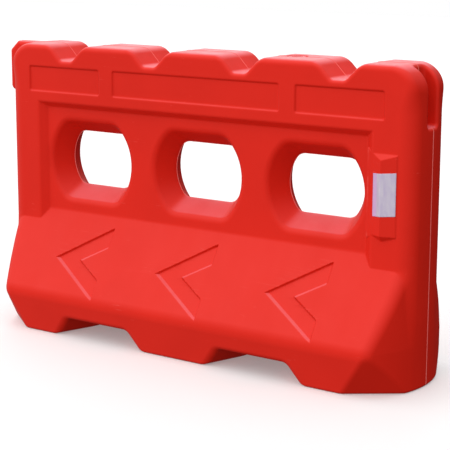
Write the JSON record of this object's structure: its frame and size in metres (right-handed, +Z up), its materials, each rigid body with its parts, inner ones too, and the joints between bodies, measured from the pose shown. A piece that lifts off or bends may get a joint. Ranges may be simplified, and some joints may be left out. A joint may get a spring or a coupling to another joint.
{
  "type": "water-filled road barrier",
  "caption": "Moulded hollow road barrier with flared windows, sloped arrow-marked base, fork channels, tongue and groove ends, screw-capped filler and drain.",
  "frame": {"origin": "on the ground, under the centre of the middle window and midway through the thickness", "axes": "+X along the barrier towards the groove end, -Y the front, +Z up"},
  "size_m": [1.352, 0.3988, 0.8],
  "materials": {
    "shell": "satin moulded polyethylene, lightly scuffed",
    "fitting": "moulded plastic ring",
    "cap": "moulded plastic",
    "seal": "black rubber",
    "reflector": "retroreflective sheeting, silver-lilac"
  },
  "bodies": {
    "barrier": {"barrier_shell": "shell", "filler_neck": "fitting", "drain_neck": "fitting", "front_reflector": "reflector", "rear_reflector": "reflector"},
    "filler_seal_ring": {"filler_seal": "seal"},
    "filler_screw_cap": {"filler_cap": "cap"},
    "drain_seal_ring": {"drain_seal": "seal"},
    "drain_screw_plug": {"drain_plug": "cap"}
  },
  "joints": [
    {"name": "filler_cap_lift", "type": "slide", "parent": "barrier", "child": "filler_seal_ring", "axis": [0, 0, 1], "range_m": [0, 0.06]},
    {"name": "filler_cap_turn", "type": "hinge", "parent": "filler_seal_ring", "child": "filler_screw_cap", "pos_m": [0.262, 0.012, 0.795], "axis": [0, 0, 1], "continuous": true},
    {"name": "drain_plug_pull", "type": "slide", "parent": "barrier", "child": "drain_seal_ring", "axis": [0, 1, 0], "range_m": [0, 0.06]},
    {"name": "drain_plug_turn", "type": "hinge", "parent": "drain_seal_ring", "child": "drain_screw_plug", "pos_m": [-0.462, 0.178, 0.048], "axis": [0, 1, 0], "continuous": true}
  ]
}
